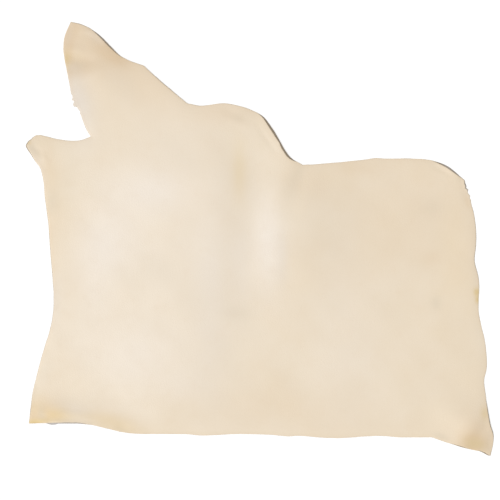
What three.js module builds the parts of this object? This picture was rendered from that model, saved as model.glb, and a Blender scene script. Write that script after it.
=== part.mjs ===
// A single shoulder of natural vegetable-tanned leather, lying grain side up.
// Millimetres, +Z up. The origin is the middle of the hide's box, on the surface it lies on.
// Plan positions in the tables are measured from the hide's left end (x) and its lowest tip (y).
import * as THREE from "three";

// Driving sizes
const THICKNESS = 2.8; // tooling weight, about 7 ounce
const EDGE_STEP = 9; // distance between points along the cut edge
const SHEET_STEP = 20; // distance between points across the hide
const EDGE_CLEARANCE = 12; // no inner point lies nearer the edge than this
const SLOPE_PROBE = 0.5; // half the span over which a slope is taken
const FAR = 20000; // corners of the triangle that encloses the whole plan

const GRAIN_COLOUR = 0xe9d8bb;
const GRAIN_ROUGHNESS = 0.6;

// The outline, clockwise. Each edge is one smooth curve, and the hide has a corner where two edges meet.
const EDGES = [
  {
    name: "foreleg tip",
    points: [
      { x: 100, y: 954 }, { x: 119, y: 950 }, { x: 141, y: 940 }, { x: 165, y: 923 },
      { x: 208, y: 880 }, { x: 229, y: 868 }, { x: 260, y: 857 },
    ],
  },
  {
    name: "foreleg front",
    points: [{ x: 260, y: 857 }, { x: 295, y: 826 }, { x: 328, y: 798 }, { x: 356, y: 774 }],
  },
  {
    name: "flank",
    points: [
      { x: 356, y: 774 }, { x: 385, y: 769 }, { x: 438, y: 774 }, { x: 471, y: 768 }, { x: 498, y: 759 },
      { x: 522, y: 746 }, { x: 540, y: 724 }, { x: 561, y: 689 }, { x: 573, y: 668 }, { x: 586, y: 653 },
      { x: 610, y: 639 },
    ],
  },
  {
    name: "belly cut",
    points: [
      { x: 610, y: 639 }, { x: 647, y: 641 }, { x: 748, y: 651 }, { x: 768, y: 654 }, { x: 795, y: 653 },
      { x: 850, y: 653 }, { x: 894, y: 649 }, { x: 927, y: 637 }, { x: 951, y: 618 }, { x: 966, y: 605 },
    ],
  },
  {
    name: "bend cut",
    points: [
      { x: 966, y: 605 }, { x: 978, y: 562 }, { x: 987, y: 528 }, { x: 991, y: 496 }, { x: 991, y: 461 },
      { x: 988, y: 430 }, { x: 997, y: 384 }, { x: 996, y: 320 }, { x: 1001, y: 291 }, { x: 1010, y: 253 },
      { x: 1014, y: 215 }, { x: 1014, y: 193 }, { x: 1008, y: 165 }, { x: 1011, y: 136 }, { x: 1017, y: 98 },
      { x: 1022, y: 70 }, { x: 1029, y: 45 }, { x: 1028, y: 28 }, { x: 1023, y: 0 },
    ],
  },
  {
    name: "bend tip",
    points: [{ x: 1023, y: 0 }, { x: 1017, y: 1 }],
  },
  {
    name: "bend lip",
    points: [
      { x: 1017, y: 1 }, { x: 998, y: 10 }, { x: 968, y: 17 }, { x: 929, y: 29 }, { x: 894, y: 41 },
    ],
  },
  {
    name: "backbone cut",
    points: [
      { x: 894, y: 41 }, { x: 823, y: 41 }, { x: 779, y: 44 }, { x: 680, y: 39 }, { x: 599, y: 44 },
      { x: 577, y: 43 }, { x: 542, y: 46 }, { x: 460, y: 48 }, { x: 390, y: 45 }, { x: 350, y: 48 },
      { x: 251, y: 49 }, { x: 218, y: 52 }, { x: 141, y: 70 }, { x: 102, y: 74 }, { x: 9, y: 72 },
    ],
  },
  {
    name: "neck",
    points: [
      { x: 9, y: 72 }, { x: 12, y: 109 }, { x: 18, y: 147 }, { x: 41, y: 235 }, { x: 54, y: 277 },
      { x: 61, y: 316 }, { x: 62, y: 353 }, { x: 54, y: 459 }, { x: 50, y: 514 }, { x: 43, y: 569 },
      { x: 40, y: 604 }, { x: 33, y: 632 }, { x: 19, y: 652 }, { x: 0, y: 681 },
    ],
  },
  {
    name: "neck lobe",
    points: [
      { x: 0, y: 681 }, { x: 4, y: 689 }, { x: 14, y: 698 }, { x: 25, y: 705 }, { x: 44, y: 702 },
      { x: 69, y: 696 }, { x: 102, y: 692 }, { x: 124, y: 694 }, { x: 144, y: 702 },
    ],
  },
  {
    name: "foreleg back",
    points: [
      { x: 144, y: 702 }, { x: 134, y: 718 }, { x: 118, y: 760 }, { x: 105, y: 781 }, { x: 98, y: 817 },
      { x: 87, y: 872 }, { x: 84, y: 899 }, { x: 87, y: 923 }, { x: 100, y: 954 },
    ],
  },
];

// Where the leather stands off the surface. Each fold has a crest with a rise at each of its points, and
// falls away within one width on the left of the crest's direction and another on its right.
const FOLDS = [
  {
    name: "foreleg arch",
    crest: [{ x: 84, y: 813, rise: 5 }, { x: 160, y: 842, rise: 8 }, { x: 226, y: 864, rise: 2 }],
    left: 145,
    right: 160,
  },
  {
    name: "flank edge",
    crest: [
      { x: 511, y: 754, rise: 2 }, { x: 542, y: 714, rise: 4 }, { x: 568, y: 672, rise: 4 },
      { x: 590, y: 648, rise: 1.5 },
    ],
    left: 60,
    right: 110,
  },
  {
    name: "middle roll",
    crest: [
      { x: 588, y: 618, rise: 2 }, { x: 584, y: 563, rise: 9 }, { x: 580, y: 453, rise: 11 },
      { x: 574, y: 356, rise: 3 },
    ],
    left: 200,
    right: 104,
  },
  {
    name: "neck swell",
    crest: [
      { x: 411, y: 722, rise: 4 }, { x: 406, y: 607, rise: 10 }, { x: 388, y: 453, rise: 7 },
      { x: 360, y: 299, rise: 4 },
    ],
    left: 145,
    right: 400,
  },
  {
    name: "lower neck swell",
    crest: [{ x: 392, y: 277, rise: 3 }, { x: 350, y: 150, rise: 4 }],
    left: 160,
    right: 300,
  },
  {
    name: "backbone lip",
    crest: [
      { x: 14, y: 70, rise: 5 }, { x: 70, y: 72, rise: 11 }, { x: 132, y: 71, rise: 7 },
      { x: 218, y: 52, rise: 3 },
    ],
    left: 74,
    right: 45,
  },
  {
    name: "bend corner",
    crest: [{ x: 962, y: 21, rise: 5 }, { x: 986, y: 64, rise: 10 }, { x: 1015, y: 113, rise: 2 }],
    left: 150,
    right: 74,
  },
  {
    name: "belly corner",
    crest: [
      { x: 894, y: 650, rise: 1 }, { x: 931, y: 633, rise: 3 }, { x: 957, y: 613, rise: 3 },
      { x: 971, y: 591, rise: 1 },
    ],
    left: 60,
    right: 90,
  },
  {
    name: "bend ripple",
    crest: [{ x: 995, y: 384, rise: 1.5 }, { x: 996, y: 328, rise: 1.5 }],
    left: 45,
    right: 80,
  },
  {
    name: "neck lobe",
    crest: [{ x: 6, y: 684, rise: 2 }, { x: 40, y: 659, rise: 1.5 }, { x: 49, y: 560, rise: 1 }],
    left: 50,
    right: 50,
  },
];

// The outline as points a step apart, corners included.
function outlinePoints() {
  return EDGES.flatMap(({ points }) => {
    const corners = points.map(({ x, y }) => new THREE.Vector3(x, y, 0));
    const curve = new THREE.CatmullRomCurve3(corners, false, "centripetal");
    const steps = Math.max(1, Math.round(curve.getLength() / EDGE_STEP));
    return curve.getSpacedPoints(steps).slice(0, -1).map((p) => new THREE.Vector2(p.x, p.y));
  });
}

// The nearest point of a crest: how far off it is, the rise there, and the side, from 1 (left) to -1 (right).
function nearestOnCrest(crest, x, y) {
  let nearest = { distance: Infinity };
  for (let i = 0; i + 1 < crest.length; i++) {
    const [a, b] = [crest[i], crest[i + 1]];
    const along = new THREE.Vector2(b.x - a.x, b.y - a.y);
    const off = new THREE.Vector2(x - a.x, y - a.y);
    const share = THREE.MathUtils.clamp(off.dot(along) / along.lengthSq(), 0, 1);
    off.addScaledVector(along, -share);
    const distance = off.length();
    if (distance >= nearest.distance) continue;
    const side = distance > 0 ? along.cross(off) / (along.length() * distance) : 0;
    nearest = { distance, side, rise: THREE.MathUtils.lerp(a.rise, b.rise, share) };
  }
  return nearest;
}

// Height of the flesh side above the surface at a plan position.
function lift(x, y) {
  return FOLDS.reduce((height, { crest, left, right }) => {
    const { distance, side, rise } = nearestOnCrest(crest, x, y);
    const width = THREE.MathUtils.lerp(right, left, (1 + side) / 2);
    const share = distance / width;
    return share < 1 ? height + rise * (1 - share * share) ** 3 : height;
  }, 0);
}

// Unit vector out of the grain side at a plan position.
function grainNormal(x, y) {
  const slopeX = (lift(x + SLOPE_PROBE, y) - lift(x - SLOPE_PROBE, y)) / (2 * SLOPE_PROBE);
  const slopeY = (lift(x, y + SLOPE_PROBE) - lift(x, y - SLOPE_PROBE)) / (2 * SLOPE_PROBE);
  return new THREE.Vector3(-slopeX, -slopeY, 1).normalize();
}

// True where a plan position lies inside the outline.
function isInside(point, outline) {
  let inside = false;
  outline.forEach((a, i) => {
    const b = outline[(i + 1) % outline.length];
    if (a.y > point.y === b.y > point.y) return;
    const crossing = a.x + ((point.y - a.y) * (b.x - a.x)) / (b.y - a.y);
    if (point.x < crossing) inside = !inside;
  });
  return inside;
}

// Points of an even triangular lattice, clear of the outline.
function innerPoints(outline) {
  const box = new THREE.Box2().setFromPoints(outline);
  const rowStep = (SHEET_STEP * Math.sqrt(3)) / 2;
  const points = [];
  for (let row = 0; box.min.y + row * rowStep < box.max.y; row++) {
    const shift = (row % 2) * (SHEET_STEP / 2);
    for (let x = box.min.x + shift; x < box.max.x; x += SHEET_STEP) {
      const point = new THREE.Vector2(x, box.min.y + row * rowStep);
      const clear = outline.every((edge) => edge.distanceTo(point) > EDGE_CLEARANCE);
      if (clear && isInside(point, outline)) points.push(point);
    }
  }
  return points;
}

// A triangle of points a, b and c with the circle through them.
function circled(points, a, b, c) {
  const [p, q, r] = [points[a], points[b], points[c]];
  const doubled = 2 * (p.x * (q.y - r.y) + q.x * (r.y - p.y) + r.x * (p.y - q.y));
  const [pp, qq, rr] = [p.lengthSq(), q.lengthSq(), r.lengthSq()];
  const centre = new THREE.Vector2(
    (pp * (q.y - r.y) + qq * (r.y - p.y) + rr * (p.y - q.y)) / doubled,
    (pp * (r.x - q.x) + qq * (p.x - r.x) + rr * (q.x - p.x)) / doubled,
  );
  return { corners: [a, b, c], centre, radiusSq: centre.distanceToSquared(p) };
}

// Delaunay triangles of the plan points, made by adding one point at a time inside one huge triangle.
function delaunay(points) {
  const count = points.length;
  const all = [
    ...points,
    new THREE.Vector2(-FAR, -FAR),
    new THREE.Vector2(FAR, -FAR),
    new THREE.Vector2(0, FAR),
  ];
  let triangles = [circled(all, count, count + 1, count + 2)];
  points.forEach((point, index) => {
    const rim = new Map();
    triangles = triangles.filter(({ corners, centre, radiusSq }) => {
      if (centre.distanceToSquared(point) >= radiusSq) return true;
      corners.forEach((a, i) => {
        const b = corners[(i + 1) % 3];
        if (!rim.delete(`${b} ${a}`)) rim.set(`${a} ${b}`, [a, b]);
      });
      return false;
    });
    rim.forEach(([a, b]) => triangles.push(circled(all, a, b, index)));
  });
  return triangles.map(({ corners }) => corners).filter((corners) => corners.every((i) => i < count));
}

// Plan triangles that lie on the hide.
function planTriangles(plan, outline) {
  return delaunay(plan).filter((corners) => {
    const middle = new THREE.Vector2();
    corners.forEach((i) => middle.addScaledVector(plan[i], 1 / 3));
    return isInside(middle, outline);
  });
}

// The closed sheet: flesh side below, grain side one thickness out from it, and the cut edge between them.
function sheetGeometry() {
  const outline = outlinePoints();
  outline.reverse(); // anticlockwise seen from above
  const plan = [...outline, ...innerPoints(outline)];
  const flesh = plan.map(({ x, y }) => new THREE.Vector3(x, y, lift(x, y)));
  const grain = flesh.map((p) => p.clone().addScaledVector(grainNormal(p.x, p.y), THICKNESS));
  const triangles = planTriangles(plan, outline);
  const grainStart = plan.length;
  const faces = triangles.flatMap(([a, b, c]) => [
    [a + grainStart, b + grainStart, c + grainStart],
    [a, c, b],
  ]);
  outline.forEach((_, a) => {
    const b = (a + 1) % outline.length;
    faces.push([a, b, b + grainStart], [a, b + grainStart, a + grainStart]);
  });
  const geometry = new THREE.BufferGeometry().setFromPoints([...flesh, ...grain]);
  geometry.setIndex(faces.flat());
  geometry.computeVertexNormals();
  geometry.computeBoundingBox();
  return geometry;
}

function makeShoulder() {
  const geometry = sheetGeometry();
  const middle = geometry.boundingBox.getCenter(new THREE.Vector3());
  const leather = new THREE.MeshStandardMaterial({
    color: GRAIN_COLOUR,
    roughness: GRAIN_ROUGHNESS,
    metalness: 0,
  });
  const shoulder = new THREE.Mesh(geometry, leather);
  shoulder.name = "shoulder";
  shoulder.position.set(-middle.x, -middle.y, 0);
  return shoulder;
}

const leatherShoulder = new THREE.Group();
leatherShoulder.add(makeShoulder());

export default leatherShoulder;
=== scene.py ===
import math

import bmesh
import bpy
import numpy as np
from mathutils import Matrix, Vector
from mathutils.bvhtree import BVHTree
from mathutils.geometry import delaunay_2d_cdt
from mathutils.kdtree import KDTree


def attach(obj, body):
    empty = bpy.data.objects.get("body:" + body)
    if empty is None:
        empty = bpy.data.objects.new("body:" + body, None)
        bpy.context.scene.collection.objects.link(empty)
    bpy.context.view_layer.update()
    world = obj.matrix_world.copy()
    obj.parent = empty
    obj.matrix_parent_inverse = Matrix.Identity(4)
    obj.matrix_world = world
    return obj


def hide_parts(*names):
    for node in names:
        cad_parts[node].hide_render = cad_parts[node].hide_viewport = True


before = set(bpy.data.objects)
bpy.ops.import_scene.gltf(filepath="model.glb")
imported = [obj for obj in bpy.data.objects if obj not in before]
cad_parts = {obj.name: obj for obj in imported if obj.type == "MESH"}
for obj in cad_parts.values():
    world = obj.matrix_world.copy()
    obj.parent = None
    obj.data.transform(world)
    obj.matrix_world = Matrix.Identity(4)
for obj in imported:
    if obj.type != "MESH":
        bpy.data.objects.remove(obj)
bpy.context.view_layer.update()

# Sizes in metres. Plan positions are in the part's own frame, x towards the bend and y towards the foreleg.
THICKNESS = 0.0028
RIM_THICKNESS = 0.0017  # what the hide thins out to at its edge
THINNING_WIDTH = 0.024
EDGE_ROUND = 0.0003  # how far the grain drops to the cut
RIM_WIDTH = 0.009  # the band along the edge that has dried darker
CUT_WAVER = 0.00025  # how far the knife wanders along the cut
CUT_WAVER_LENGTH = 0.012
UNEVENNESS = 0.0007  # height of the hide's slow waves, as a share of their length
LONGEST_WAVE = 0.20
SHORTEST_WAVE = 0.05
WAVE_COUNT = 16
SEED = 11

# The mesh of the sheet
SHEET_STEP = 0.0046  # between points across the hide
EDGE_PARTS = 6  # points along the cut edge for each one of the CAD outline
TORN_PARTS = 3  # and for each one of those where the edge is torn
RING_DEPTHS = [0.0013, 0.0034]  # rows of points that follow the edge just inside it
RING_GAP = 0.0008  # least distance between the points of such a row
LATTICE_CLEARANCE = 0.0054  # from the edge to the first point of the even lattice
CLEAR_SHARE = 0.95  # a moved point is crowded if it is nearer the edge than this share of its way
CORNER_TURN = math.radians(30)  # a sharper turn of the outline stays a corner
SMOOTHING_ROUNDS = 30  # takes out the CAD solid's facets
MERGE_DISTANCE = 1e-5  # CAD points nearer than this are one
TOUCHING_DISTANCE = 1e-7  # plan points and edges nearer than this touch
CONVEX_HULL = 0  # the kind of triangulation that reaches out to the points' convex hull
DOWNWARD = -0.5  # the flesh side's normals point lower than this
BELOW_THE_HIDE = -0.1  # where rays towards the flesh side start

# The slots of the sheet's materials
GRAIN_SLOT, FLESH_SLOT, EDGE_SLOT = range(3)

# The cut edge from the grain side down: share of the thickness, and how far it stands out
EDGE_ROWS = [
    dict(share=0.84, out=0.00028),
    dict(share=0.52, out=0.00042),
    dict(share=0.16, out=0.00030),
]

# Stretches of torn edge: where, how far along, how far in and out, and the length of one tooth
RAGGED = {
    "foreleg back": dict(x=-0.404, y=0.296, reach=0.026, depth=0.0042, tooth=0.005),
    "bend top": dict(x=0.457, y=0.098, reach=0.030, depth=0.0020, tooth=0.005),
    "neck lobe": dict(x=-0.503, y=0.216, reach=0.026, depth=0.0012, tooth=0.006),
}
FINE_TEETH = 3  # short teeth to a long one
FINE_DEPTH = 0.45  # and their depth, as a share of the long ones'
CUT_FRAY = 0.25  # how loose the fibres are where the edge isn't torn, from 0 to 1

# Stretches where the edge curls up: how far it rises, how far in the curl reaches, and its line
LIPS = {
    "foreleg": dict(rise=0.0006, width=0.014, line=[
        (-0.373, 0.462), (-0.349, 0.442), (-0.332, 0.426)]),
    "flank": dict(rise=0.0005, width=0.016, line=[
        (-0.005, 0.279), (0.019, 0.253), (0.041, 0.213), (0.060, 0.185), (0.082, 0.169)]),
    "belly corner": dict(rise=0.0014, width=0.012, line=[
        (0.387, 0.170), (0.412, 0.158), (0.440, 0.138)]),
    "bend top": dict(rise=0.0012, width=0.010, line=[
        (0.450, 0.130), (0.459, 0.101)]),
    "backbone": dict(rise=0.0018, width=0.014, line=[
        (-0.487, -0.405), (-0.448, -0.401), (-0.399, -0.401)]),
}

# Where the raw edge slants and shows from above, in a dark brown that partly paints the shadow under the
# lifted edge, and grey where grey painted shade is laid near it: its reach inside the outline or beyond it,
# and its line
SLANTS = {
    "foreleg tip": dict(inside=0.0011, line=[
        (-0.416, 0.472), (-0.409, 0.4765), (-0.390, 0.473), (-0.372, 0.465)]),
    "foreleg": dict(inside=0.0036, line=[
        (-0.372, 0.464), (-0.350, 0.446), (-0.328, 0.424), (-0.307, 0.403), (-0.297, 0.397)]),
    "foreleg front": dict(inside=0.0010, line=[
        (-0.256, 0.382), (-0.158, 0.298)]),
    "flank": dict(inside=0.0048, line=[
        (-0.004, 0.279), (0.012, 0.266), (0.025, 0.247), (0.046, 0.212), (0.056, 0.194)]),
    "flank, lower": dict(inside=0.0046, line=[
        (0.046, 0.212), (0.058, 0.191), (0.070, 0.177), (0.082, 0.169)]),
    "belly corner": dict(inside=0.0036, line=[
        (0.378, 0.174), (0.412, 0.160), (0.432, 0.145), (0.449, 0.130)]),
    "bend top": dict(inside=0.0026, line=[
        (0.449, 0.132), (0.454, 0.116), (0.459, 0.101)]),
    "bend": dict(inside=0.0010, line=[
        (0.463, 0.086), (0.476, -0.010), (0.482, -0.140)]),
    "bend corner": dict(inside=0.0020, line=[
        (0.495, -0.345), (0.505, -0.395), (0.514, -0.432), (0.513, -0.452)]),
    "bend lip": dict(inside=0.0020, line=[
        (0.418, -0.449), (0.466, -0.462)]),
    "bend tip": dict(inside=0.0024, line=[
        (0.478, -0.461), (0.512, -0.478)]),
    # The backbone's raw edge and its tab reach out where the shadow under the lip falls, and the grey laid
    # there paints that shadow on them
    "backbone": dict(inside=0.0010, beyond=0.0020, line=[
        (-0.476, -0.404), (-0.420, -0.403), (-0.366, -0.404)]),
    "backbone tab": dict(beyond=0.0030, line=[
        (-0.467, -0.404), (-0.441, -0.404)]),
    "neck": dict(inside=0.0009, line=[
        (-0.484, 0.160), (-0.470, 0.080), (-0.461, -0.018), (-0.453, -0.124), (-0.461, -0.200),
        (-0.497, -0.330)]),
    "neck corner": dict(inside=0.0014, line=[
        (-0.500, -0.345), (-0.504, -0.375), (-0.506, -0.404)]),
    "neck lobe": dict(inside=0.0020, line=[
        (-0.488, 0.227), (-0.503, 0.217), (-0.514, 0.207), (-0.506, 0.192), (-0.492, 0.172)]),
}
SLANT_REACH = 0.008  # an edge further than this from a slant's line has none of it
FULL_SLANT = 0.0024  # from this width on the raw edge is at its darkest and thickest

# Creases and small ridges of the grain side: height, negative for a trough, half width, and line
CREASES = {
    "foreleg knuckle": dict(height=-0.0016, half_width=0.015, line=[
        (-0.440, 0.364), (-0.385, 0.376), (-0.330, 0.398), (-0.290, 0.424)]),
    "foreleg knuckle, upper": dict(height=-0.0009, half_width=0.010, line=[
        (-0.432, 0.402), (-0.400, 0.393), (-0.360, 0.394)]),
    "foreleg tip pucker": dict(height=0.0012, half_width=0.006, line=[
        (-0.398, 0.452), (-0.380, 0.459), (-0.360, 0.446)]),
    "foreleg knuckle ridge": dict(height=0.0007, half_width=0.008, line=[
        (-0.430, 0.416), (-0.409, 0.418), (-0.382, 0.416)]),
    "foreleg edge droop": dict(height=-0.0010, half_width=0.008, line=[
        (-0.338, 0.434), (-0.318, 0.412), (-0.294, 0.396)]),
    "armpit": dict(height=-0.0018, half_width=0.020, line=[
        (0.100, 0.172), (0.090, 0.132), (0.070, 0.080), (0.060, 0.040)]),
    "flank wrinkle": dict(height=-0.0008, half_width=0.010, line=[
        (-0.085, 0.284), (-0.052, 0.274), (-0.026, 0.262)]),
    "flank wrinkle, lower": dict(height=0.0006, half_width=0.010, line=[
        (-0.070, 0.262), (-0.040, 0.254), (-0.012, 0.240)]),
    "flank line": dict(height=-0.0005, half_width=0.005, line=[
        (-0.010, 0.260), (0.010, 0.226), (0.040, 0.186)]),
    "neck lobe pucker": dict(height=-0.0005, half_width=0.005, line=[
        (-0.500, 0.206), (-0.486, 0.194), (-0.476, 0.178)]),
    "neck lobe pucker, lower": dict(height=0.0004, half_width=0.005, line=[
        (-0.482, 0.190), (-0.472, 0.178), (-0.466, 0.162)]),
    "backbone trough": dict(height=-0.0006, half_width=0.008, line=[
        (-0.500, -0.392), (-0.466, -0.388), (-0.440, -0.374)]),
    "backbone ridge": dict(height=0.0007, half_width=0.008, line=[
        (-0.466, -0.392), (-0.430, -0.384), (-0.368, -0.386)]),
    "backbone pucker": dict(height=-0.0014, half_width=0.009, line=[
        (-0.316, -0.408), (-0.286, -0.424), (-0.254, -0.432)]),
    "bend corner fold": dict(height=0.0014, half_width=0.018, line=[
        (0.436, -0.446), (0.468, -0.400), (0.506, -0.340)]),
    "bend corner trough": dict(height=-0.0012, half_width=0.011, line=[
        (0.456, -0.458), (0.480, -0.430), (0.506, -0.398)]),
    "belly corner": dict(height=-0.0008, half_width=0.008, line=[
        (0.440, 0.140), (0.452, 0.110), (0.458, 0.070)]),
    "belly corner line": dict(height=-0.0007, half_width=0.004, line=[
        (0.372, 0.161), (0.398, 0.152), (0.424, 0.138)]),
}

# Colours of the leather
CREAM = (0.786, 0.676, 0.530, 1)
HONEY = (0.770, 0.650, 0.492, 1)
TAN = (0.655, 0.466, 0.272, 1)
PORE = (0.640, 0.500, 0.330, 1)
GREY = (0.560, 0.530, 0.515, 1)
# A dark brown for the raw edge where it slants: partly the edge's own colour, partly painted shadow under
# the lifted edge
RAW_BROWN_AND_SHADE = (0.225, 0.178, 0.128, 1)
EDGE_PALE = (0.70, 0.58, 0.43, 1)
EDGE_TAN = (0.50, 0.39, 0.26, 1)
EDGE_BAND = (0.44, 0.34, 0.23, 1)
SUEDE_PALE = (0.66, 0.54, 0.39, 1)
SUEDE_TAN = (0.58, 0.45, 0.31, 1)
SUEDE_NAP = (0.75, 0.64, 0.50, 1)
FIBRE_PALE = (0.74, 0.63, 0.48, 1)
FIBRE_TAN = (0.58, 0.46, 0.31, 1)

# Tones laid over the grain, each over those before it: its colour, and how much a full one covers. They are
# stains of the leather and also painted highlight and shade
TONES = {
    # pale: lighter patches, and also painted highlight on the roll down the middle and on the backbone's
    # lip, and painted light on slopes that the shape shades
    "pale": dict(colour=(0.828, 0.757, 0.685, 1), cover=0.8),
    "gold": dict(colour=(0.810, 0.600, 0.280, 1), cover=0.8),
    # tan: the tanned tone, and in places painted shade: in the knuckle crease, inside the belly corner's
    # edge, and over a lit slope below the neck lobe
    "tan": dict(colour=TAN, cover=0.6),
    # smudge: faint dark marks, and in places painted shade: in the knuckle and armpit creases, in a fold by
    # the bend's bottom edge, and along the neck's and the belly corner's edges
    "smudge_and_shade": dict(colour=(0.640, 0.550, 0.420, 1), cover=0.6),
    "ochre": dict(colour=(0.640, 0.460, 0.140, 1), cover=0.8),
    # grey: painted shade: thin shadow lines and darker bands along the edge, the shadow under the backbone's
    # lip, and darker tone on and beside the roll down the middle
    "grey": dict(colour=GREY, cover=0.5),
}

# How much each of these covers of the colour under it, at the most
RIM_COVER = 0.10
CLOUD_COVER = 0.04
SPECK_COVER = 0.10
PIT_COVER = 0.14
BAND_COVER = 0.35
NAP_COVER = 0.5
RAW_EDGE_COVER = 0.8
RAW_FIBRE_COVER = 0.7
GREY_EDGE_COVER = 0.9
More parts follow.
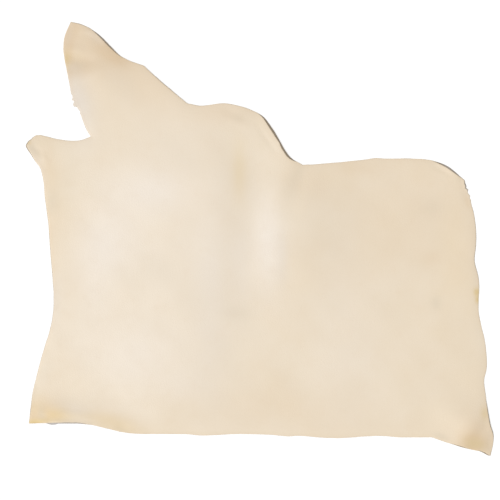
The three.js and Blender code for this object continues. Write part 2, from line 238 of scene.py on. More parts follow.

# Colour laid over the grain, partly left by tanning and drying and partly painted highlight, shade and
# shadow: which tone, where, half sizes, any turn in degrees, and strength
STAINS_AND_PAINTED_LIGHT = [
    # Broad, across the hide
    dict(tone="pale", x=-0.175, y=0.040, long=0.260, wide=0.190, turn=90, strength=0.35),
    dict(tone="pale", x=-0.245, y=0.108, long=0.085, wide=0.050, strength=0.5),
    dict(tone="pale", x=-0.340, y=-0.002, long=0.085, wide=0.070, turn=90, strength=0.55),
    dict(tone="pale", x=-0.362, y=-0.112, long=0.085, wide=0.050, turn=90, strength=0.35),
    dict(tone="pale", x=-0.274, y=-0.262, long=0.130, wide=0.085, strength=0.5),
    dict(tone="pale", x=-0.164, y=-0.328, long=0.060, wide=0.035, strength=0.2),
    dict(tone="pale", x=0.199, y=-0.200, long=0.230, wide=0.085, turn=90, strength=0.28),
    dict(tone="tan", x=0.370, y=0.070, long=0.190, wide=0.150, strength=0.25),
    dict(tone="tan", x=0.015, y=-0.375, long=0.170, wide=0.055, strength=0.22),
    dict(tone="smudge_and_shade", x=-0.230, y=-0.075, long=0.070, wide=0.042, strength=0.3),
    dict(tone="smudge_and_shade", x=-0.153, y=-0.141, long=0.048, wide=0.032, strength=0.2),
    dict(tone="smudge_and_shade", x=-0.050, y=-0.163, long=0.036, wide=0.016, strength=0.35),
    # Along the roll down the middle: pale paints the roll's highlight and lightens the leather beside it,
    # grey paints shade on and beside it, and gold and ochre tint the trough at its upper end
    dict(tone="pale", x=-0.105, y=-0.120, long=0.170, wide=0.036, turn=90, strength=0.35),
    dict(tone="pale", x=-0.040, y=-0.055, long=0.080, wide=0.026, turn=90, strength=0.34),
    dict(tone="pale", x=0.016, y=-0.010, long=0.110, wide=0.033, turn=90, strength=0.56),
    dict(tone="gold", x=-0.044, y=0.150, long=0.062, wide=0.017, turn=90, strength=0.22),
    dict(tone="ochre", x=-0.044, y=0.150, long=0.060, wide=0.016, turn=90, strength=0.1),
    dict(tone="grey", x=0.026, y=-0.020, long=0.100, wide=0.032, turn=90, strength=0.28),
    dict(tone="grey", x=0.050, y=-0.040, long=0.060, wide=0.014, turn=90, strength=0.3),
    # Foreleg; the tan and smudge rows at its knuckle crease, near y = 0.377, paint the crease's shade
    dict(tone="tan", x=-0.384, y=0.428, long=0.095, wide=0.075, turn=70, strength=0.42),
    dict(tone="tan", x=-0.270, y=0.364, long=0.130, wide=0.060, turn=-40, strength=0.42),
    dict(tone="tan", x=-0.321, y=0.405, long=0.040, wide=0.020, turn=-32, strength=0.68),
    dict(tone="tan", x=-0.412, y=0.458, long=0.044, wide=0.018, turn=75, strength=0.55),
    dict(tone="tan", x=-0.395, y=0.378, long=0.036, wide=0.018, turn=10, strength=0.6),
    dict(tone="tan", x=-0.419, y=0.408, long=0.052, wide=0.009, turn=95, strength=0.7),
    dict(tone="smudge_and_shade", x=-0.406, y=0.377, long=0.036, wide=0.012, turn=8, strength=0.7),
    dict(tone="ochre", x=-0.404, y=0.400, long=0.020, wide=0.015, strength=0.14),
    dict(tone="ochre", x=-0.424, y=0.394, long=0.020, wide=0.008, turn=90, strength=0.5),
    dict(tone="pale", x=-0.396, y=0.292, long=0.070, wide=0.034, turn=100, strength=0.36),
    dict(tone="grey", x=-0.404, y=0.304, long=0.075, wide=0.034, turn=105, strength=0.7),
    dict(tone="grey", x=-0.394, y=0.474, long=0.030, wide=0.003, turn=-14, strength=0.5),
    dict(tone="grey", x=-0.421, y=0.448, long=0.032, wide=0.012, turn=77, strength=0.35),
    dict(tone="grey", x=-0.358, y=0.442, long=0.024, wide=0.010, turn=-42, strength=0.3),
    # Flank and armpit; the smudge along the armpit crease, turned 66 degrees, paints its shade
    dict(tone="tan", x=-0.080, y=0.278, long=0.070, wide=0.028, strength=0.35),
    dict(tone="smudge_and_shade", x=-0.041, y=0.268, long=0.017, wide=0.013, turn=30, strength=0.35),
    dict(tone="tan", x=0.105, y=0.126, long=0.055, wide=0.036, turn=-30, strength=0.24),
    dict(tone="smudge_and_shade", x=0.086, y=0.144, long=0.036, wide=0.014, turn=66, strength=0.36),
    dict(tone="tan", x=0.215, y=0.156, long=0.055, wide=0.018, strength=0.3),
    # Neck, from the lobe down; the tan below the lobe darkens a slope that the light brightens, as painted
    # shade, and the smudge and grey lines along the edge by the neck's corner paint a thin shadow
    dict(tone="smudge_and_shade", x=-0.500, y=0.196, long=0.024, wide=0.011, turn=-49, strength=0.9),
    dict(tone="ochre", x=-0.509, y=0.211, long=0.006, wide=0.004, strength=0.5),
    dict(tone="tan", x=-0.484, y=0.172, long=0.044, wide=0.024, turn=-60, strength=0.26),
    dict(tone="grey", x=-0.484, y=0.150, long=0.036, wide=0.012, turn=-72, strength=0.4),
    dict(tone="gold", x=-0.458, y=0.110, long=0.100, wide=0.040, turn=95, strength=0.16),
    dict(tone="smudge_and_shade", x=-0.419, y=0.140, long=0.060, wide=0.022, turn=90, strength=0.3),
    dict(tone="smudge_and_shade", x=-0.457, y=0.079, long=0.028, wide=0.015, turn=90, strength=0.65),
    dict(tone="tan", x=-0.462, y=0.030, long=0.180, wide=0.020, turn=90, strength=0.28),
    dict(tone="grey", x=-0.454, y=-0.138, long=0.055, wide=0.018, turn=90, strength=0.45),
    dict(tone="smudge_and_shade", x=-0.474, y=-0.294, long=0.050, wide=0.012, turn=75, strength=0.35),
    dict(tone="smudge_and_shade", x=-0.499, y=-0.338, long=0.034, wide=0.007, turn=78, strength=0.7),
    dict(tone="grey", x=-0.504, y=-0.368, long=0.040, wide=0.002, turn=84, strength=0.8),
    # Backbone, from the neck's corner; the pale rows paint the lip's highlight and lighten the slope above
    # it, and the grey rows paint the shadow under the lip
    dict(tone="tan", x=-0.494, y=-0.396, long=0.028, wide=0.012, strength=0.6),
    dict(tone="tan", x=-0.480, y=-0.372, long=0.042, wide=0.026, strength=0.44),
    dict(tone="smudge_and_shade", x=-0.478, y=-0.384, long=0.020, wide=0.010, turn=100, strength=0.7),
    dict(tone="ochre", x=-0.490, y=-0.402, long=0.030, wide=0.007, strength=0.9),
    dict(tone="gold", x=-0.491, y=-0.375, long=0.030, wide=0.026, strength=0.42),
    dict(tone="gold", x=-0.450, y=-0.384, long=0.032, wide=0.014, strength=0.6),
    dict(tone="gold", x=-0.424, y=-0.397, long=0.045, wide=0.011, strength=0.4),
    dict(tone="pale", x=-0.408, y=-0.378, long=0.036, wide=0.016, strength=0.4),
    dict(tone="gold", x=-0.340, y=-0.394, long=0.050, wide=0.014, turn=-8, strength=0.14),
    dict(tone="pale", x=-0.420, y=-0.397, long=0.042, wide=0.007, strength=0.8),
    dict(tone="grey", x=-0.452, y=-0.407, long=0.020, wide=0.004, strength=1.0),
    dict(tone="grey", x=-0.415, y=-0.404, long=0.040, wide=0.003, strength=0.6),
    dict(tone="tan", x=-0.312, y=-0.408, long=0.070, wide=0.024, turn=-16, strength=0.3),
    dict(tone="ochre", x=-0.312, y=-0.410, long=0.060, wide=0.018, turn=-16, strength=0.25),
    # Belly corner; the tan, smudge and grey lines along its edge paint the shadow inside its lifted edge
    dict(tone="tan", x=0.408, y=0.163, long=0.022, wide=0.003, turn=-27, strength=0.8),
    dict(tone="smudge_and_shade", x=0.390, y=0.160, long=0.016, wide=0.006, turn=-24, strength=0.55),
    dict(tone="grey", x=0.414, y=0.158, long=0.030, wide=0.004, turn=-34, strength=0.4),
    dict(tone="grey", x=0.456, y=0.111, long=0.014, wide=0.004, turn=-70, strength=0.5),
    # Bend; the long grey line along its edge paints a thin shadow
    dict(tone="tan", x=0.456, y=0.082, long=0.014, wide=0.005, turn=-74, strength=0.28),
    dict(tone="smudge_and_shade", x=0.382, y=0.070, long=0.024, wide=0.022, strength=0.35),
    dict(tone="tan", x=0.380, y=-0.042, long=0.022, wide=0.018, strength=0.28),
    dict(tone="smudge_and_shade", x=0.388, y=-0.141, long=0.016, wide=0.012, turn=90, strength=0.65),
    dict(tone="gold", x=0.424, y=-0.024, long=0.090, wide=0.035, turn=90, strength=0.13),
    dict(tone="ochre", x=0.477, y=-0.117, long=0.009, wide=0.006, turn=90, strength=0.9),
    dict(tone="ochre", x=0.479, y=-0.134, long=0.008, wide=0.005, turn=90, strength=0.75),
    dict(tone="grey", x=0.475, y=-0.045, long=0.085, wide=0.006, turn=92, strength=0.22),
    # The bend's lower corner; the smudge line near the bottom edge, at x = 0.399, paints the shade of a fold
    dict(tone="tan", x=0.476, y=-0.432, long=0.058, wide=0.044, turn=60, strength=0.6),
    dict(tone="tan", x=0.468, y=-0.447, long=0.030, wide=0.020, turn=-14, strength=0.7),
    dict(tone="smudge_and_shade", x=0.399, y=-0.434, long=0.016, wide=0.007, turn=-18, strength=0.85),
    dict(tone="smudge_and_shade", x=0.472, y=-0.450, long=0.024, wide=0.011, turn=-12, strength=0.8),
    dict(tone="ochre", x=0.472, y=-0.450, long=0.024, wide=0.014, turn=-12, strength=0.42),
    dict(tone="ochre", x=0.494, y=-0.383, long=0.014, wide=0.009, turn=90, strength=0.4),
]

# Loose fibres of the raw edge
FIBRE_SIDES = 3
FIBRE_PARTS = 3
FIBRE_ROOT = 0.0003  # how deep a fibre sits in the edge
FIBRE_TIP_SHARE = 0.25  # width at the tip, as a share of the root's
SHORTEST_FIBRE = 0.2  # as a share of the longest
PRESSED_HEIGHT = 0.0003  # fibres lower than this are pressed towards it
PRESSED_SHARE = 0.15  # of their way below it that they keep

# The sockets of the fibre tree, with the size or setting that each one gets
FIBRE_SETTINGS = {
    "Fibres per square metre": dict(socket="NodeSocketFloat", value=500000.0),
    "Length": dict(socket="NodeSocketFloat", value=0.0018),
    "Width": dict(socket="NodeSocketFloat", value=0.00012),
    "Curl": dict(socket="NodeSocketFloat", value=0.0009),
    "Spread": dict(socket="NodeSocketFloat", value=0.9),
    "Seed": dict(socket="NodeSocketInt", value=SEED),
}

# How far after the tree's own seed the seeds of a fibre's lean, twist and size are
LEAN_STEP, TWIST_STEP, SIZE_STEP = 1, 2, 3

# Sockets that have to be found by their number, because others of the same node share their names
MIX_SHARE, MIX_FIRST, MIX_SECOND = 0, 6, 7
MIXED_COLOUR = 2
RANDOM_NUMBER = 1

# Floor, camera and light
WHITE = (1.0, 1.0, 1.0, 1)
FLOOR_WHITE = (0.35, 0.35, 0.35, 1)
FLOOR_GLOW = 0.70  # the floor is a light table, which softens the shadows on it
FLOOR_SIZE = 200.0
FLOOR_DROP = 0.0003  # keeps the floor just clear of the hide
PHOTO_WIDTH = 1.1  # across the photo's frame at the hide
PHOTO_MIDDLE = (-0.0209, -0.0246)  # plan position in the middle of the photo
CAMERA_LENS = 85.0  # in millimetres, like the sensor
CAMERA_SENSOR = 36.0
CAMERA_REACH = 200.0
KEY_BEARING = math.radians(202)  # where the light comes from, turned from x towards y
KEY_ELEVATION = math.radians(62)
KEY_ANGLE = math.radians(20)
KEY_STRENGTH = 2.31
WORLD_STRENGTH = 0.41


def cad_flesh_side(node):
    """The underside of a CAD node as a search tree, and its rim in plan, anticlockwise from the left end."""
    mesh = bmesh.new()
    mesh.from_mesh(node.data)
    bmesh.ops.remove_doubles(mesh, verts=mesh.verts, dist=MERGE_DISTANCE)
    other = [face for face in mesh.faces if face.normal.z > DOWNWARD]
    bmesh.ops.delete(mesh, geom=other, context="FACES")
    following = {}
    for edge in mesh.edges:
        if edge.is_boundary:
            loop = edge.link_loops[0]
            following[loop.link_loop_next.vert] = loop.vert
    rim = [min(following, key=lambda vert: vert.co.x)]
    while following[rim[-1]] is not rim[0]:
        rim.append(following[rim[-1]])
    outline = np.array([vert.co.xy for vert in rim])
    tree = BVHTree.FromBMesh(mesh)
    mesh.free()
    return tree, outline


def shifted(points, steps):
    """The points of a closed line, each one replaced by the one that many steps further on."""
    return np.roll(points, -steps, axis=0)


def smooth_outline(outline):
    """The outline with more points, on a cubic curve through the given ones that keeps their corners."""
    before = shifted(outline, -1)
    after = shifted(outline, 1)
    way_in = outline - before
    way_out = after - outline
    cross = way_in[:, 0] * way_out[:, 1] - way_in[:, 1] * way_out[:, 0]
    turn = np.abs(np.arctan2(cross, (way_in * way_out).sum(axis=1)))
    corner = (turn > CORNER_TURN)[:, None]
    ahead = np.where(shifted(corner, 1), 2 * after - outline, shifted(outline, 2))
    behind = np.where(corner, 2 * outline - after, before)
    parts = []
    for share in np.arange(EDGE_PARTS) / EDGE_PARTS:
        parts.append(0.5 * (
            2 * outline
            + (after - behind) * share
            + (2 * behind - 5 * outline + 4 * after - ahead) * share ** 2
            + (3 * outline - behind - 3 * after + ahead) * share ** 3
        ))
    return np.stack(parts, axis=1).reshape(-1, 2)


def spot_weight(points, spot):
    """1 at the middle of a torn stretch, falling to 0 at its reach."""
    distance = np.hypot(points[:, 0] - spot["x"], points[:, 1] - spot["y"])
    return np.clip(1 - distance / spot["reach"], 0, 1)


def with_torn_points(outline):
    """The outline with further points where it is torn, for the short teeth."""
    torn = sum(spot_weight(outline, spot) for spot in RAGGED.values()) > 0
    stretches = []
    for start, end, many in zip(outline, shifted(outline, 1), torn):
        shares = np.arange(TORN_PARTS if many else 1) / TORN_PARTS
        stretches.append(start + shares[:, None] * (end - start))
    return np.concatenate(stretches)


def outward(outline):
    """Unit vectors out of an anticlockwise outline."""
    way = shifted(outline, 1) - shifted(outline, -1)
    out = np.stack([way[:, 1], -way[:, 0]], axis=1)
    return out / np.linalg.norm(out, axis=1, keepdims=True)


def waver(lengths, tooth, rng):
    """Random ups and downs from -1 to 1 along an edge, about one tooth long each."""
    knots = np.arange(lengths[0], lengths[-1] + 2 * tooth, tooth)
    return np.interp(lengths, knots, rng.uniform(-1, 1, len(knots)))


def inside(points, outline):
    """True for each plan point inside the outline."""
    found = np.zeros(len(points), bool)
    for start, end in zip(outline, shifted(outline, 1)):
        between = (start[1] > points[:, 1]) != (end[1] > points[:, 1])
        if not between.any():
            continue
        crossing = start[0] + (points[:, 1] - start[1]) * (end[0] - start[0]) / (end[1] - start[1])
        found ^= between & (points[:, 0] < crossing)
    return found


def search_tree(points):
    """A tree that finds plan points by their place."""
    tree = KDTree(len(points))
    for index, (x, y) in enumerate(points):
        tree.insert((x, y, 0), index)
    tree.balance()
    return tree


def nearest_on_edge(points, outline):
    """For each plan point, the nearest of the outline's points by its index, and how far off it is."""
    tree = search_tree(outline)
    found = [tree.find((x, y, 0)) for x, y in points]
    return np.array([index for _, index, _ in found]), np.array([distance for _, _, distance in found])


def edge_distance(points, outline):
    """How far each plan point lies from the outline's points."""
    return nearest_on_edge(points, outline)[1]


def nearest_on_line(plan, line):
    """How far each plan point lies from a line of points, and how far along the line, from 0 to 1."""
    corners = np.array(line)
    lengths = np.linalg.norm(np.diff(corners, axis=0), axis=1)
    sums = np.concatenate([[0], np.cumsum(lengths)])
    nearest = np.full(len(plan), np.inf)
    along = np.zeros(len(plan))
    for start, end, length, before in zip(corners[:-1], corners[1:], lengths, sums):
        share = np.clip((plan - start) @ (end - start) / length ** 2, 0, 1)
        distance = np.linalg.norm(plan - start - share[:, None] * (end - start), axis=1)
        closer = distance < nearest
        nearest = np.where(closer, distance, nearest)
        along = np.where(closer, (before + share * length) / sums[-1], along)
    return nearest, along


def fading(along):
    """1 halfway along a line, falling smoothly to 0 at both ends."""
    return 1 - (2 * along - 1) ** 2


def slant_width(outline, side):
    """How far the raw edge reaches inside the outline or beyond it, at each of its points."""
    width = np.zeros(len(outline))
    for slant in SLANTS.values():
        distance, along = nearest_on_line(outline, slant["line"])
        width += slant.get(side, 0) * fading(along) * (distance < SLANT_REACH)
    return width


def worn_outline(outline, cut_back, rng):
    """The outline as the knife and wear left it, and which of its points are left."""
    steps = np.linalg.norm(shifted(outline, 1) - outline, axis=1)
    lengths = np.concatenate([[0], np.cumsum(steps)[:-1]])
    depth = cut_back + CUT_WAVER * waver(lengths, CUT_WAVER_LENGTH, rng)
    for spot in RAGGED.values():
        teeth = waver(lengths, spot["tooth"], rng)
        fine = waver(lengths, spot["tooth"] / FINE_TEETH, rng)
        depth += spot["depth"] * np.sqrt(spot_weight(outline, spot)) * (teeth + FINE_DEPTH * fine)
    worn = outline - depth[:, None] * outward(outline)
    left = edge_distance(worn, outline) > CLEAR_SHARE * np.abs(depth)
    return worn[left], left


def hide_outline(cad_outline, rng):
    """The hide's outline on its grain side, and how far the raw edge slants out from each of its points."""
    outline = with_torn_points(smooth_outline(cad_outline))
    cut_back = slant_width(outline, "inside")
    slant = cut_back + slant_width(outline, "beyond")
    outline, left = worn_outline(outline, cut_back, rng)
    return outline, slant[left]


def thinned(points, gap):
    """The plan points without those that lie nearer than a gap to one before them."""
    tree = search_tree(points)
    kept = np.ones(len(points), bool)
    for index, (x, y) in enumerate(points):
        if kept[index]:
            close = [other for _, other, _ in tree.find_range((x, y, 0), gap) if other > index]
            kept[close] = False
    return points[kept]


def ring(outline, depth):
    """Points that follow the outline at a depth inside it, but for those that a tight turn crowds."""
    points = outline - depth * outward(outline)
    clear = edge_distance(points, outline) > CLEAR_SHARE * depth
    return thinned(points[clear & inside(points, outline)], RING_GAP)


def lattice(outline):
    """An even triangular lattice of plan points, clear of the outline."""
    low = outline.min(axis=0)
    high = outline.max(axis=0)
    row_step = SHEET_STEP * math.sqrt(3) / 2
    rows = []
    for row, y in enumerate(np.arange(low[1], high[1], row_step)):
        xs = np.arange(low[0] + (row % 2) * SHEET_STEP / 2, high[0], SHEET_STEP)
        rows.append(np.stack([xs, np.full_like(xs, y)], axis=1))
    points = np.concatenate(rows)
    points = points[inside(points, outline)]
    return points[edge_distance(points, outline) > LATTICE_CLEARANCE]


def triangles(plan, outline):
    """Triangles of the plan points within the outline, which comes first among them."""
    corners = [Vector(point) for point in plan.tolist()]
    rim = np.arange(len(outline))
    edges = np.column_stack([rim, np.roll(rim, -1)]).tolist()
    placed, _, faces, *_ = delaunay_2d_cdt(corners, edges, [], CONVEX_HULL, TOUCHING_DISTANCE, False)
    if len(placed) != len(plan):
        raise RuntimeError("the outline crosses itself")
    faces = np.array(faces)
    return faces[inside(plan[faces].mean(axis=1), outline)]


def cad_heights(plan, tree):
    """The height of the CAD underside at each plan point."""
    heights = []
    for x, y in plan:
        hit = tree.ray_cast((x, y, BELOW_THE_HIDE), (0, 0, 1))[0]
        place = hit or tree.find_nearest((x, y, 0))[0]
        heights.append(place.z)
    return np.array(heights)


def smoothed(values, faces):
    """Values smoothed over the sheet: each round takes a point halfway to the mean of its neighbours."""
    sides = np.concatenate([faces[:, [0, 1]], faces[:, [1, 2]], faces[:, [2, 0]]])
    point = np.concatenate([sides[:, 0], sides[:, 1]])
    neighbour = np.concatenate([sides[:, 1], sides[:, 0]])
    count = np.bincount(point, minlength=len(values))
    for _ in range(SMOOTHING_ROUNDS):
        mean = np.bincount(point, weights=values[neighbour], minlength=len(values)) / count
        values = (values + mean) / 2
    return values


def point_normals(points, faces):
    """Unit normals of the sheet at its points."""
    first, second, third = (points[faces[:, corner]] for corner in range(3))
    face_normals = np.cross(second - first, third - first)
    normals = np.zeros_like(points)
    for corner in range(3):
        for axis in range(3):
            normals[:, axis] += np.bincount(faces[:, corner], face_normals[:, axis], len(points))
    return normals / np.linalg.norm(normals, axis=1, keepdims=True)


def lip_rise(plan):
    """How far the curled edges lift the sheet at each plan point."""
    rise = np.zeros(len(plan))
    for lip in LIPS.values():
        distance, along = nearest_on_line(plan, lip["line"])
        rise += lip["rise"] * fading(along) * np.clip(1 - distance / lip["width"], 0, 1) ** 2
    return rise


def slant_share(slant):
    """How near a slant comes to a full one, from 0 to 1."""
    return np.clip(slant / FULL_SLANT, 0, 1)


def sheet_thickness(plan, outline, slant):
    """The hide's thickness at each plan point: thinner at the edge, unless the edge is slanted there."""
    nearest, distance = nearest_on_edge(plan, outline)
    rim = RIM_THICKNESS + (THICKNESS - RIM_THICKNESS) * slant_share(slant)[nearest]
    share = np.clip(distance / THINNING_WIDTH, 0, 1)
    return rim + (THICKNESS - rim) * share * (2 - share)


def grain_relief(plan, rng):
    """Height of the grain side's creases and slow waves at each plan point."""
    relief = np.zeros(len(plan))
    for crease in CREASES.values():
        distance, along = nearest_on_line(plan, crease["line"])
        share = distance / (2 * crease["half_width"])
        relief += crease["height"] * fading(along) * np.clip(1 - share ** 2, 0, 1) ** 3
    for length in np.geomspace(LONGEST_WAVE, SHORTEST_WAVE, WAVE_COUNT):
        heading = rng.uniform(0, math.tau)
        way = np.array([math.cos(heading), math.sin(heading)])
        relief += UNEVENNESS * length * np.sin(math.tau * plan @ way / length + rng.uniform(0, math.tau))
    return relief


def edge_rows(flesh, grain, out, slant):
    """Rows of points down the cut edge, between the grain side's rim and the flesh side's."""
    rows = []
    for row in EDGE_ROWS:
        middle = flesh + row["share"] * (grain - flesh)
        rows.append(middle + (row["out"] + (1 - row["share"]) * slant)[:, None] * out)
    return rows


def sheet_points(plan, faces, outline, slant, tree, rng):
    """The sheet's points: the flesh side's, the grain side's, and the rows down the cut edge."""
    rim_count = len(outline)
    flesh = np.column_stack([plan, smoothed(cad_heights(plan, tree), faces) + lip_rise(plan)])
    thickness = sheet_thickness(plan, outline, slant) + grain_relief(plan, rng)
    thickness[:rim_count] -= EDGE_ROUND
    grain = flesh + point_normals(flesh, faces) * thickness[:, None]
    out = np.column_stack([outward(outline), np.zeros(rim_count)])
    rows = edge_rows(flesh[:rim_count], grain[:rim_count], out, slant)
    flesh[:rim_count] += slant[:, None] * out
    return np.concatenate([flesh, grain, *rows])


def sheet_sides(faces, count, rim_count):
    """The faces of the grain side, the flesh side and the cut edge, over the sheet's points."""
    rim = np.arange(rim_count)
    following = np.roll(rim, -1)
    row_starts = [count, *(2 * count + rim_count * np.arange(len(EDGE_ROWS))), 0]
    edge = []
    for upper, lower in zip(row_starts[:-1], row_starts[1:]):
        edge += np.column_stack([upper + rim, lower + rim, lower + following, upper + following]).tolist()
    return [(faces + count).tolist(), faces[:, ::-1].tolist(), edge]


def tone_strength(plan, tone):
    """How strongly a tone colours each plan point."""
    strength = np.zeros(len(plan))
    for overlay in STAINS_AND_PAINTED_LIGHT:
        if overlay["tone"] != tone:
            continue
        turn = math.radians(overlay.get("turn", 0))
        off = plan - (overlay["x"], overlay["y"])
        long = (off[:, 0] * math.cos(turn) + off[:, 1] * math.sin(turn)) / overlay["long"]
        wide = (off[:, 1] * math.cos(turn) - off[:, 0] * math.sin(turn)) / overlay["wide"]
        strength += overlay["strength"] * np.exp(-(long ** 2 + wide ** 2))
    return np.clip(strength, 0, 1)


def fray(plan):
    """How loose the fibres of the edge are at each plan point, from 0 to 1."""
    return np.clip(CUT_FRAY + sum(spot_weight(plan, spot) for spot in RAGGED.values()), 0, 1)


def store(mesh, name, values):
    """Keeps a value for each of the mesh's points, for materials and fibres to read."""
    mesh.attributes.new(name, "FLOAT", "POINT").data.foreach_set("value", values)


def new_object(name, data):
    """A new object in the scene, at the origin."""
    item = bpy.data.objects.new(name, data)
    bpy.context.collection.objects.link(item)
    return item


def make_sheet(name, materials):
    """The hide as one closed sheet: grain side, flesh side and cut edge, each with its own material."""
    rng = np.random.default_rng(SEED)
    tree, cad_outline = cad_flesh_side(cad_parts["shoulder"])
    outline, slant = hide_outline(cad_outline, rng)
    rings = [ring(outline, depth) for depth in RING_DEPTHS]
    plan = np.concatenate([outline, *rings, lattice(outline)])
    faces = triangles(plan, outline)
    points = sheet_points(plan, faces, outline, slant, tree, rng)
    sides = sheet_sides(faces, len(plan), len(outline))
    mesh = bpy.data.meshes.new(name)
    mesh.from_pydata(points.tolist(), [], [face for side in sides for face in side])
    slots = np.repeat([GRAIN_SLOT, FLESH_SLOT, EDGE_SLOT], [len(side) for side in sides])
    mesh.polygons.foreach_set("material_index", slots)
    mesh.shade_smooth()
    for material in materials:
        mesh.materials.append(material)
    places = points[:, :2]
    for tone in TONES:
        store(mesh, tone, tone_strength(places, tone))
    nearest, distance = nearest_on_edge(places, outline)
    store(mesh, "slanted", slant_share(slant)[nearest])
    store(mesh, "rim", np.clip(1 - distance / RIM_WIDTH, 0, 1))
    store(mesh, "fray", fray(places))
    return new_object(name, mesh)


def add(tree, kind, inputs=None, **settings):
    """A new node with its settings, and its inputs linked or set."""
    node = tree.nodes.new(kind)
    for key, value in settings.items():
        setattr(node, key, value)
    for key, value in (inputs or {}).items():
        if isinstance(value, bpy.types.NodeSocket):
            tree.links.new(value, node.inputs[key])
        else:
            node.inputs[key].default_value = value
    return node


def scaled(tree, value, factor):
    """A value times a factor."""
    return add(tree, "ShaderNodeMath", {0: value, 1: factor}, operation="MULTIPLY").outputs[0]


def new_material(name):
    """A new material without nodes, and its node tree."""
    material = bpy.data.materials.new(name)
    material.use_nodes = True
    material.node_tree.nodes.clear()
    return material, material.node_tree


def finish_material(tree, inputs):
    """The shader that ends a material, with its inputs linked or set."""
    shader = add(tree, "ShaderNodeBsdfPrincipled", inputs)
    add(tree, "ShaderNodeOutputMaterial", {"Surface": shader.outputs["BSDF"]})


def object_place(tree):
    """The place on the piece, for patterns that keep to it."""
    return add(tree, "ShaderNodeTexCoord").outputs["Object"]


def stretched(tree, place, scale):
    """A place scaled by its own factor along each axis."""
    return add(tree, "ShaderNodeMapping", {"Vector": place, "Scale": scale}).outputs["Vector"]


def noise(tree, place, scale, detail, roughness=0.5):
    """Soft random spots, from 0 to 1."""
    return add(tree, "ShaderNodeTexNoise", {
        "Vector": place, "Scale": scale, "Detail": detail, "Roughness": roughness,
    }).outputs["Fac"]


def ranged(tree, value, low, high, to_low=0.0, to_high=1.0):
    """A value mapped from one range to another, and kept within it."""
    return add(tree, "ShaderNodeMapRange", {
        "Value": value, "From Min": low, "From Max": high, "To Min": to_low, "To Max": to_high,
    }, interpolation_type="SMOOTHSTEP").outputs["Result"]


def mixed(tree, share, first, second):
    """Two colours mixed by a share from 0 to 1."""
    return add(tree, "ShaderNodeMix", {
        MIX_SHARE: share, MIX_FIRST: first, MIX_SECOND: second,
    }, data_type="RGBA").outputs[MIXED_COLOUR]


def overlaid(tree, colour, name, overlay, cover):
    """A colour with another laid over it, as strong as the value that the mesh keeps under a name."""
    strength = add(tree, "ShaderNodeAttribute", attribute_name=name).outputs["Fac"]
    return mixed(tree, scaled(tree, strength, cover), colour, overlay)


def bump(tree, height, distance, strength, under=None):
    """Normals that follow a height, on top of the bumps under them."""
    inputs = {"Height": height, "Distance": distance, "Strength": strength}
    if under is not None:
        inputs["Normal"] = under
    return add(tree, "ShaderNodeBump", inputs).outputs["Normal"]


def grain_material():
    """Undyed grain: cream to honey, with pores, fine growth lines, the stains of tanning, and painted
    highlight and shade in the same tones.
    """
    material, tree = new_material("natural_grain")
    place = object_place(tree)
    mottle = noise(tree, place, scale=6.0, detail=3.0, roughness=0.55)
    cloud = noise(tree, place, scale=38.0, detail=3.0, roughness=0.6)
    speck = noise(tree, place, scale=520.0, detail=2.0, roughness=0.6)
    growth = noise(tree, stretched(tree, place, (150.0, 26.0, 60.0)), scale=1.0, detail=3.0, roughness=0.6)
    cells = add(tree, "ShaderNodeTexVoronoi", {
        "Vector": place, "Scale": 620.0, "Smoothness": 0.35,
    }, feature="SMOOTH_F1").outputs["Distance"]
    pores = add(tree, "ShaderNodeTexVoronoi", {"Vector": place, "Scale": 420.0}).outputs["Distance"]
    pit = ranged(tree, pores, low=0.06, high=0.2, to_low=1.0, to_high=0.0)
    colour = mixed(tree, ranged(tree, mottle, low=0.32, high=0.68), CREAM, HONEY)
    for name, tone in TONES.items():
        colour = overlaid(tree, colour, name, tone["colour"], tone["cover"])
    colour = overlaid(tree, colour, "rim", TAN, RIM_COVER)
    colour = mixed(tree, ranged(tree, cloud, low=0.5, high=0.75, to_high=CLOUD_COVER), colour, TAN)
    colour = mixed(tree, ranged(tree, speck, low=0.45, high=0.75, to_high=SPECK_COVER), colour, PORE)
    colour = mixed(tree, scaled(tree, pit, PIT_COVER), colour, PORE)
    normal = bump(tree, growth, distance=0.0010, strength=0.06)
    normal = bump(tree, cells, distance=0.0004, strength=0.34, under=normal)
    normal = bump(tree, pores, distance=0.0004, strength=0.24, under=normal)
    roughness = ranged(tree, cloud, low=0.3, high=0.7, to_low=0.46, to_high=0.52)
    finish_material(tree, {
        "Base Color": colour, "Roughness": roughness, "Normal": normal, "Specular IOR Level": 0.45,
    })
    return material


def edge_material():
    """The raw cut edge: pale fibres in bands, a dark brown where the edge slants that partly paints the
    shadow under the lifted edge, and grey painted shade in places.
    """
    material, tree = new_material("raw_edge")
    place = object_place(tree)
    fibre = noise(tree, place, scale=900.0, detail=3.0, roughness=0.65)
    band = noise(tree, place, scale=60.0, detail=2.0)
    colour = mixed(tree, ranged(tree, fibre, low=0.35, high=0.7), EDGE_PALE, EDGE_TAN)
    colour = mixed(tree, ranged(tree, band, low=0.4, high=0.7, to_high=BAND_COVER), colour, EDGE_BAND)
    colour = overlaid(tree, colour, "slanted", RAW_BROWN_AND_SHADE, RAW_EDGE_COVER)
    colour = overlaid(tree, colour, "grey", GREY, GREY_EDGE_COVER)
    normal = bump(tree, fibre, distance=0.0006, strength=0.8)
    roughness = ranged(tree, fibre, low=0.3, high=0.7, to_low=0.82, to_high=0.95)
    finish_material(tree, {
        "Base Color": colour, "Roughness": roughness, "Normal": normal, "Specular IOR Level": 0.25,
    })
    return material


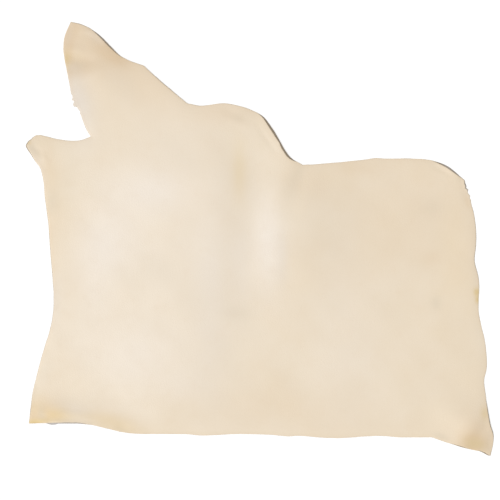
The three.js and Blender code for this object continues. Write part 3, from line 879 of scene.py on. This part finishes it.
def flesh_material():
    """The suede flesh side: a short fuzzy nap with shaving marks."""
    material, tree = new_material("flesh_suede")
    place = object_place(tree)
    nap = noise(tree, place, scale=420.0, detail=4.0, roughness=0.7)
    patch = noise(tree, place, scale=9.0, detail=3.0, roughness=0.6)
    shaving = noise(tree, stretched(tree, place, (14.0, 190.0, 60.0)), scale=1.0, detail=2.0)
    colour = mixed(tree, ranged(tree, patch, low=0.3, high=0.7), SUEDE_PALE, SUEDE_TAN)
    colour = mixed(tree, ranged(tree, nap, low=0.4, high=0.75, to_high=NAP_COVER), colour, SUEDE_NAP)
    normal = bump(tree, shaving, distance=0.0006, strength=0.4)
    normal = bump(tree, nap, distance=0.0008, strength=0.7, under=normal)
    roughness = ranged(tree, nap, low=0.3, high=0.7, to_low=0.88, to_high=0.98)
    finish_material(tree, {
        "Base Color": colour, "Roughness": roughness, "Normal": normal, "Specular IOR Level": 0.2,
        "Sheen Weight": 0.25, "Sheen Roughness": 0.5,
    })
    return material


def fibre_material():
    """Loose fibres of the raw edge: pale tan, darker in places, and where the edge slants a dark brown that
    partly paints shade.
    """
    material, tree = new_material("loose_fibre")
    place = object_place(tree)
    patch = noise(tree, place, scale=140.0, detail=2.0)
    twist = noise(tree, place, scale=2400.0, detail=1.0)
    colour = mixed(tree, ranged(tree, patch, low=0.35, high=0.65), FIBRE_PALE, FIBRE_TAN)
    colour = overlaid(tree, colour, "slanted", RAW_BROWN_AND_SHADE, RAW_FIBRE_COVER)
    normal = bump(tree, twist, distance=0.0001, strength=0.3)
    roughness = ranged(tree, patch, low=0.3, high=0.7, to_low=0.80, to_high=0.92)
    finish_material(tree, {
        "Base Color": colour, "Roughness": roughness, "Normal": normal, "Specular IOR Level": 0.25,
    })
    return material


def combined(tree, **parts):
    """A vector from its X, Y and Z, each of them linked, set or left at 0."""
    return add(tree, "ShaderNodeCombineXYZ", parts).outputs["Vector"]


def one_fibre(tree, sizes):
    """Nodes for a single curved fibre that stands on its root, thinner towards the tip."""
    line = add(tree, "GeometryNodeCurveQuadraticBezier", {
        "Resolution": FIBRE_PARTS,
        "Start": combined(tree, Z=-FIBRE_ROOT),
        "Middle": combined(tree, Z=scaled(tree, sizes["Length"], 0.5)),
        "End": combined(tree, X=sizes["Curl"], Z=sizes["Length"]),
    })
    place = add(tree, "GeometryNodeSplineParameter")
    taper = add(tree, "ShaderNodeMapRange", {
        "Value": place.outputs["Factor"], "To Min": 1.0, "To Max": FIBRE_TIP_SHARE,
    })
    tapered = add(tree, "GeometryNodeSetCurveRadius", {
        "Curve": line.outputs["Curve"], "Radius": taper.outputs["Result"],
    })
    section = add(tree, "GeometryNodeCurvePrimitiveCircle", {
        "Resolution": FIBRE_SIDES, "Radius": scaled(tree, sizes["Width"], 0.5),
    })
    return add(tree, "GeometryNodeCurveToMesh", {
        "Curve": tapered.outputs["Curve"], "Profile Curve": section.outputs["Curve"], "Fill Caps": True,
    }).outputs["Mesh"]


def later_seed(tree, seed, steps):
    """A seed of its own for one of several random values."""
    return add(tree, "ShaderNodeMath", {0: seed, 1: steps}, operation="ADD").outputs[0]


def fibre_stance(tree, sizes, normal):
    """Nodes for the way a fibre stands: out of the edge, leaning at random, and turned about itself."""
    spread = sizes["Spread"]
    back = scaled(tree, spread, -1.0)
    lean = add(tree, "FunctionNodeRandomValue", {
        "Min": combined(tree, X=back, Y=back),
        "Max": combined(tree, X=spread, Y=spread, Z=spread),
        "Seed": later_seed(tree, sizes["Seed"], LEAN_STEP),
    }, data_type="FLOAT_VECTOR")
    way = add(tree, "ShaderNodeVectorMath", {0: normal, 1: lean.outputs["Value"]}, operation="ADD")
    upright = add(tree, "FunctionNodeAlignRotationToVector", {"Vector": way.outputs["Vector"]}, axis="Z")
    twist = add(tree, "FunctionNodeRandomValue", {
        "Max": math.tau, "Seed": later_seed(tree, sizes["Seed"], TWIST_STEP),
    }, data_type="FLOAT")
    about = combined(tree, Z=twist.outputs[RANDOM_NUMBER])
    turn = add(tree, "FunctionNodeEulerToRotation", {"Euler": about})
    return add(tree, "FunctionNodeRotateRotation", {
        "Rotation": upright.outputs["Rotation"], "Rotate By": turn.outputs["Rotation"],
    }, rotation_space="LOCAL").outputs["Rotation"]


def laid_on_surface(tree, fibres):
    """Nodes that keep low fibres above the surface that the hide lies on, pressed flat."""
    place = add(tree, "ShaderNodeSeparateXYZ", {0: add(tree, "GeometryNodeInputPosition").outputs[0]})
    pressed = add(tree, "ShaderNodeMath", {
        0: place.outputs["Z"], 1: PRESSED_SHARE, 2: (1 - PRESSED_SHARE) * PRESSED_HEIGHT,
    }, operation="MULTIPLY_ADD")
    height = add(tree, "ShaderNodeMath", {0: place.outputs["Z"], 1: pressed.outputs[0]}, operation="MAXIMUM")
    return add(tree, "GeometryNodeSetPosition", {
        "Geometry": fibres,
        "Position": combined(tree, X=place.outputs["X"], Y=place.outputs["Y"], Z=height.outputs[0]),
    }).outputs["Geometry"]


def fibre_tree(material):
    """A tree that scatters fibres over an edge, more where it is frayed."""
    tree = bpy.data.node_groups.new("edge_fibres", "GeometryNodeTree")
    tree.interface.new_socket("Edge", in_out="INPUT", socket_type="NodeSocketGeometry")
    for socket_name, setting in FIBRE_SETTINGS.items():
        tree.interface.new_socket(socket_name, in_out="INPUT", socket_type=setting["socket"])
    tree.interface.new_socket("Fibres", in_out="OUTPUT", socket_type="NodeSocketGeometry")
    sizes = add(tree, "NodeGroupInput").outputs
    frayed = add(tree, "GeometryNodeInputNamedAttribute", {"Name": "fray"}, data_type="FLOAT")
    scatter = add(tree, "GeometryNodeDistributePointsOnFaces", {
        "Mesh": sizes["Edge"],
        "Density": scaled(tree, sizes["Fibres per square metre"], frayed.outputs["Attribute"]),
        "Seed": sizes["Seed"],
    })
    size = add(tree, "FunctionNodeRandomValue", {
        "Min": SHORTEST_FIBRE, "Seed": later_seed(tree, sizes["Seed"], SIZE_STEP),
    }, data_type="FLOAT")
    placed = add(tree, "GeometryNodeInstanceOnPoints", {
        "Points": scatter.outputs["Points"],
        "Instance": one_fibre(tree, sizes),
        "Rotation": fibre_stance(tree, sizes, scatter.outputs["Normal"]),
        "Scale": size.outputs[RANDOM_NUMBER],
    })
    real = add(tree, "GeometryNodeRealizeInstances", {"Geometry": placed.outputs["Instances"]})
    dressed = add(tree, "GeometryNodeSetMaterial", {
        "Geometry": laid_on_surface(tree, real.outputs["Geometry"]), "Material": material,
    })
    add(tree, "NodeGroupOutput", {"Fibres": dressed.outputs["Geometry"]})
    return tree


def edge_strip(sheet):
    """The raw edge of the sheet as a mesh of its own."""
    strip = bmesh.new()
    strip.from_mesh(sheet.data)
    other = [face for face in strip.faces if face.material_index != EDGE_SLOT]
    bmesh.ops.delete(strip, geom=other, context="FACES")
    mesh = bpy.data.meshes.new("edge_strip")
    strip.to_mesh(mesh)
    strip.free()
    return mesh


def make_fibres(name, sheet):
    """Short loose fibres along the raw edge, as one mesh."""
    piece = new_object(name, edge_strip(sheet))
    modifier = piece.modifiers.new("fibres", "NODES")
    tree = fibre_tree(fibre_material())
    modifier.node_group = tree
    identifiers = {item.name: item.identifier for item in tree.interface.items_tree}
    for socket_name, setting in FIBRE_SETTINGS.items():
        modifier[identifiers[socket_name]] = setting["value"]
    evaluated = piece.evaluated_get(bpy.context.evaluated_depsgraph_get())
    mesh = bpy.data.meshes.new_from_object(evaluated)
    piece.modifiers.remove(modifier)
    piece.data = mesh
    return piece


def make_floor():
    """The pale floor, a light table under the hide."""
    half = FLOOR_SIZE / 2
    corners = [(-half, -half), (half, -half), (half, half), (-half, half)]
    mesh = bpy.data.meshes.new("floor")
    mesh.from_pydata([(x, y, -FLOOR_DROP) for x, y in corners], [], [(0, 1, 2, 3)])
    material, tree = new_material("pale_floor")
    finish_material(tree, {
        "Base Color": FLOOR_WHITE, "Roughness": 0.9, "Specular IOR Level": 0.1,
        "Emission Color": WHITE, "Emission Strength": FLOOR_GLOW,
    })
    mesh.materials.append(material)
    floor = new_object("floor", mesh)


def make_camera():
    """The camera, straight above the hide, as far off as the photo's frame asks."""
    camera = bpy.data.cameras.new("camera")
    camera.lens = CAMERA_LENS
    camera.sensor_width = CAMERA_SENSOR
    camera.clip_end = CAMERA_REACH
    holder = new_object("camera", camera)
    holder.location = (*PHOTO_MIDDLE, CAMERA_LENS * PHOTO_WIDTH / CAMERA_SENSOR)
    bpy.context.scene.camera = holder


def make_light():
    """A broad key light from the neck's side, and an even white world around the hide."""
    key = bpy.data.lights.new("key", "SUN")
    key.energy = KEY_STRENGTH
    key.angle = KEY_ANGLE
    holder = new_object("key", key)
    holder.rotation_euler = (math.pi / 2 - KEY_ELEVATION, 0, math.pi / 2 + KEY_BEARING)
    world = bpy.data.worlds.new("studio")
    world.use_nodes = True
    background = world.node_tree.nodes["Background"]
    background.inputs["Color"].default_value = WHITE
    background.inputs["Strength"].default_value = WORLD_STRENGTH
    bpy.context.scene.world = world
    bpy.context.scene.view_settings.view_transform = "Standard"


make_camera()
make_floor()
make_light()
sheet = make_sheet("shoulder_sheet", [grain_material(), flesh_material(), edge_material()])
fibres = make_fibres("edge_fibres", sheet)
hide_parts("shoulder")
for piece in (sheet, fibres):
    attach(piece, "root")
